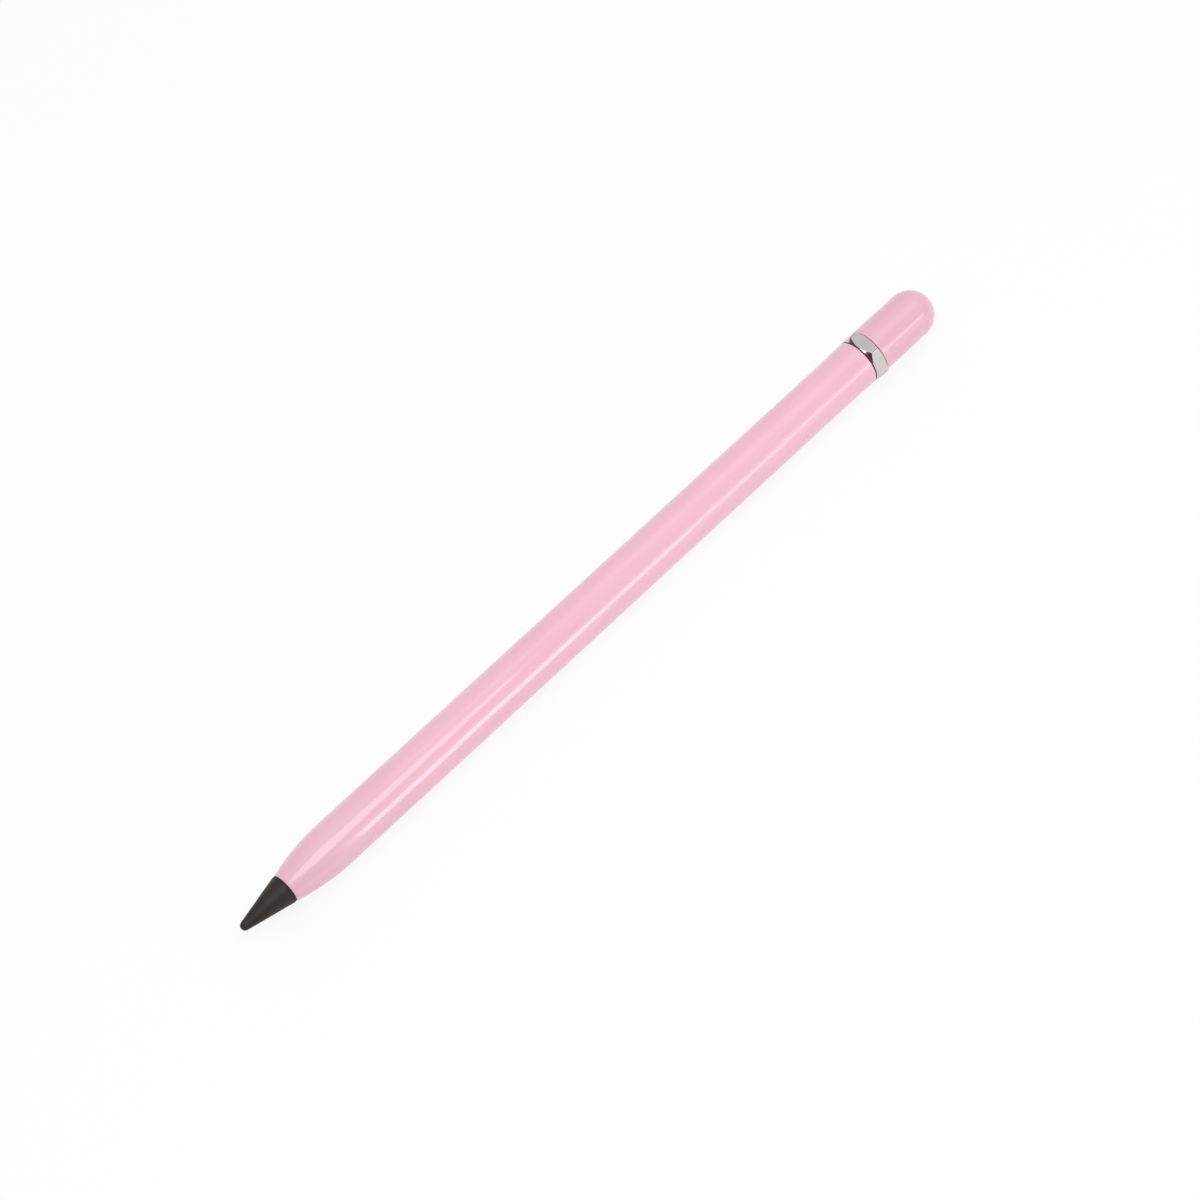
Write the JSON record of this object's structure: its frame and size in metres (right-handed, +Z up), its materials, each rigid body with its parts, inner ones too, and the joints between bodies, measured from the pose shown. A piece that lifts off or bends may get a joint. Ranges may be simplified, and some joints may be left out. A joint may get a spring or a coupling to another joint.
{
  "type": "inkless pencil",
  "caption": "Slim round metal pencil with a bullet nose, a screw-in graphite-alloy writing cone, a chrome hexagon ring that stops it rolling, and a domed pull-off cap over an eraser.",
  "frame": {"origin": "on the table under the middle of the pencil's length, below its axis", "axes": "+X along the pencil's axis from the writing point to the cap, +Z up from the table, with a flat of the hexagon ring facing down"},
  "size_m": [0.1556, 0.0094, 0.0082],
  "materials": {
    "graphite_alloy": "satin",
    "brass": "satin",
    "black_rubber": "matte",
    "pink_lacquer": "gloss",
    "chrome_plate": "polished",
    "ivory_plastic": "satin",
    "eraser_vinyl": "matte"
  },
  "bodies": {
    "barrel": {"barrel": "pink_lacquer", "nose_bush": "brass", "hex_ring": "chrome_plate", "tail_sleeve": "ivory_plastic", "eraser": "eraser_vinyl"},
    "seal": {"nib_seal": "black_rubber"},
    "nib": {"nib_cone": "graphite_alloy", "nib_stud": "brass"},
    "cap": {"cap": "pink_lacquer", "cap_liner": "ivory_plastic"}
  },
  "joints": [
    {"name": "nib_travel", "type": "slide", "parent": "barrel", "child": "seal", "axis": [-1, 0, 0], "range_m": [0, 0.005]},
    {"name": "nib_turn", "type": "hinge", "parent": "seal", "child": "nib", "pos_m": [-0.0688, 0, 0.0041], "axis": [-1, 0, 0], "range_deg": [0, 3600]},
    {"name": "cap_pull", "type": "slide", "parent": "barrel", "child": "cap", "axis": [1, 0, 0], "range_m": [0, 0.014]}
  ],
  "couplings": [
    {"joint": "nib_turn", "follows": "nib_travel", "rad_per_m": 12566}
  ]
}
